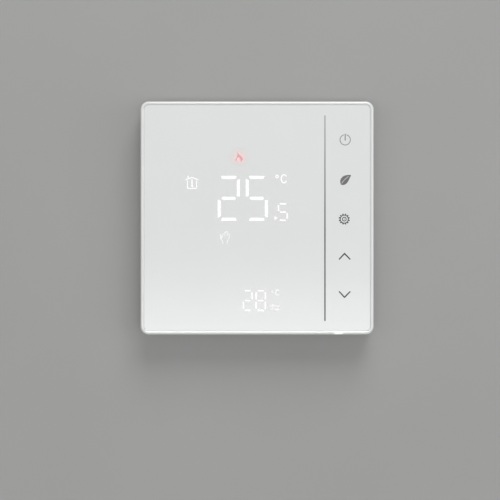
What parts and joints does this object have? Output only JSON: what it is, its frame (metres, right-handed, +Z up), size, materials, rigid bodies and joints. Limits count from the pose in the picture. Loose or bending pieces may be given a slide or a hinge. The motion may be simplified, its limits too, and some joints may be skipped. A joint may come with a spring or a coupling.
{
  "type": "wall thermostat",
  "caption": "Square flush wall thermostat with a flat white touch panel, segment display, removable front unit, steel plate and rear housing with screw terminals.",
  "frame": {"origin": "middle of the steel mounting plate's back face, on the wall's surface", "axes": "+Z up, +X to the right seen from the front, +Y into the wall; the panel faces -Y"},
  "size_m": [0.086, 0.0385, 0.086],
  "materials": {
    "white_shell": "satin white moulded plastic",
    "touch_panel": "flat white acrylic with a soft gloss",
    "tape": "thin double-sided tape",
    "film": "matt diffuser film",
    "light_box": "matt white moulding",
    "led": "clear yellowish chip lamp",
    "circuit_board": "green solder mask",
    "spring_steel": "bright spring steel",
    "chip": "matt black moulding",
    "connector": "black connector plastic",
    "gold_pin": "gold-plated pin",
    "bead": "dark epoxy bead",
    "inner_plastic": "fine matt white plastic",
    "screw": "zinc-plated steel",
    "zinc_plate": "zinc-plated sheet steel",
    "housing_plastic": "fine matt white flame-proof plastic",
    "relay_case": "blue relay case",
    "core_steel": "stacked transformer sheet",
    "bobbin_plastic": "cream bobbin plastic",
    "copper_wire": "enamelled copper wire",
    "film_capacitor": "yellow capacitor case",
    "capacitor_can": "dark sleeved aluminium can",
    "varistor_blue": "blue coated disc",
    "fuse_body": "glass fuse body with metal caps",
    "terminal_plastic": "green terminal plastic",
    "contact_brass": "tinned brass bar",
    "key_print": "matt grey screen ink",
    "lit_white": "white light through the panel",
    "lit_red": "red light through the panel",
    "cage_steel": "nickel-plated steel cage"
  },
  "bodies": {
    "rear_unit": {"mounting_plate": "zinc_plate", "plate_rivets": "screw", "retaining_clips": "spring_steel", "rear_housing": "housing_plastic", "inner_cover": "inner_plastic", "lid_screws": "screw", "power_board": "circuit_board", "board_socket": "connector", "relay": "relay_case", "transformer_core": "core_steel", "transformer_bobbin": "bobbin_plastic", "transformer_winding": "copper_wire", "filter_capacitor": "film_capacitor", "electrolytic_capacitors": "capacitor_can", "varistor": "varistor_blue", "fuse": "fuse_body", "power_chips": "chip", "terminal_block": "terminal_plastic", "terminal_contacts": "contact_brass"},
    "front_unit": {"front_frame": "white_shell", "front_panel": "touch_panel", "panel_tape": "tape", "diffuser_film": "film", "light_box": "light_box", "display_leds": "led", "display_board": "circuit_board", "touch_springs": "spring_steel", "controller_chips": "chip", "header_base": "connector", "header_pins": "gold_pin", "temperature_sensor": "bead", "back_cover": "inner_plastic", "cover_screws": "screw"},
    "clamp_screw_1": {"terminal_screw_1": "screw"},
    "clamp_cage_1": {"terminal_cage_1": "cage_steel"},
    "clamp_screw_2": {"terminal_screw_2": "screw"},
    "clamp_cage_2": {"terminal_cage_2": "cage_steel"},
    "clamp_screw_3": {"terminal_screw_3": "screw"},
    "clamp_cage_3": {"terminal_cage_3": "cage_steel"},
    "clamp_screw_4": {"terminal_screw_4": "screw"},
    "clamp_cage_4": {"terminal_cage_4": "cage_steel"},
    "clamp_screw_5": {"terminal_screw_5": "screw"},
    "clamp_cage_5": {"terminal_cage_5": "cage_steel"},
    "clamp_screw_6": {"terminal_screw_6": "screw"},
    "clamp_cage_6": {"terminal_cage_6": "cage_steel"}
  },
  "joints": [
    {"name": "front_release", "type": "slide", "parent": "rear_unit", "child": "front_unit", "axis": [0, -1, 0], "range_m": [0, 0.025], "deforming": ["retaining_clips"]},
    {"name": "clamp_1_turn", "type": "hinge", "parent": "rear_unit", "child": "clamp_screw_1", "pos_m": [-0.0127, 0.0145, -0.02], "axis": [0, -1, 0], "range_deg": [0, 1800]},
    {"name": "clamp_1_rise", "type": "slide", "parent": "rear_unit", "child": "clamp_cage_1", "axis": [0, 1, 0], "range_m": [0, 0.0025]},
    {"name": "clamp_2_turn", "type": "hinge", "parent": "rear_unit", "child": "clamp_screw_2", "pos_m": [-0.00762, 0.0145, -0.02], "axis": [0, -1, 0], "range_deg": [0, 1800]},
    {"name": "clamp_2_rise", "type": "slide", "parent": "rear_unit", "child": "clamp_cage_2", "axis": [0, 1, 0], "range_m": [0, 0.0025]},
    {"name": "clamp_3_turn", "type": "hinge", "parent": "rear_unit", "child": "clamp_screw_3", "pos_m": [-0.00254, 0.0145, -0.02], "axis": [0, -1, 0], "range_deg": [0, 1800]},
    {"name": "clamp_3_rise", "type": "slide", "parent": "rear_unit", "child": "clamp_cage_3", "axis": [0, 1, 0], "range_m": [0, 0.0025]},
    {"name": "clamp_4_turn", "type": "hinge", "parent": "rear_unit", "child": "clamp_screw_4", "pos_m": [0.00254, 0.0145, -0.02], "axis": [0, -1, 0], "range_deg": [0, 1800]},
    {"name": "clamp_4_rise", "type": "slide", "parent": "rear_unit", "child": "clamp_cage_4", "axis": [0, 1, 0], "range_m": [0, 0.0025]},
    {"name": "clamp_5_turn", "type": "hinge", "parent": "rear_unit", "child": "clamp_screw_5", "pos_m": [0.00762, 0.0145, -0.02], "axis": [0, -1, 0], "range_deg": [0, 1800]},
    {"name": "clamp_5_rise", "type": "slide", "parent": "rear_unit", "child": "clamp_cage_5", "axis": [0, 1, 0], "range_m": [0, 0.0025]},
    {"name": "clamp_6_turn", "type": "hinge", "parent": "rear_unit", "child": "clamp_screw_6", "pos_m": [0.0127, 0.0145, -0.02], "axis": [0, -1, 0], "range_deg": [0, 1800]},
    {"name": "clamp_6_rise", "type": "slide", "parent": "rear_unit", "child": "clamp_cage_6", "axis": [0, 1, 0], "range_m": [0, 0.0025]}
  ],
  "couplings": [
    {"joint": "clamp_1_turn", "follows": "clamp_1_rise", "rad_per_m": 12566},
    {"joint": "clamp_2_turn", "follows": "clamp_2_rise", "rad_per_m": 12566},
    {"joint": "clamp_3_turn", "follows": "clamp_3_rise", "rad_per_m": 12566},
    {"joint": "clamp_4_turn", "follows": "clamp_4_rise", "rad_per_m": 12566},
    {"joint": "clamp_5_turn", "follows": "clamp_5_rise", "rad_per_m": 12566},
    {"joint": "clamp_6_turn", "follows": "clamp_6_rise", "rad_per_m": 12566}
  ]
}
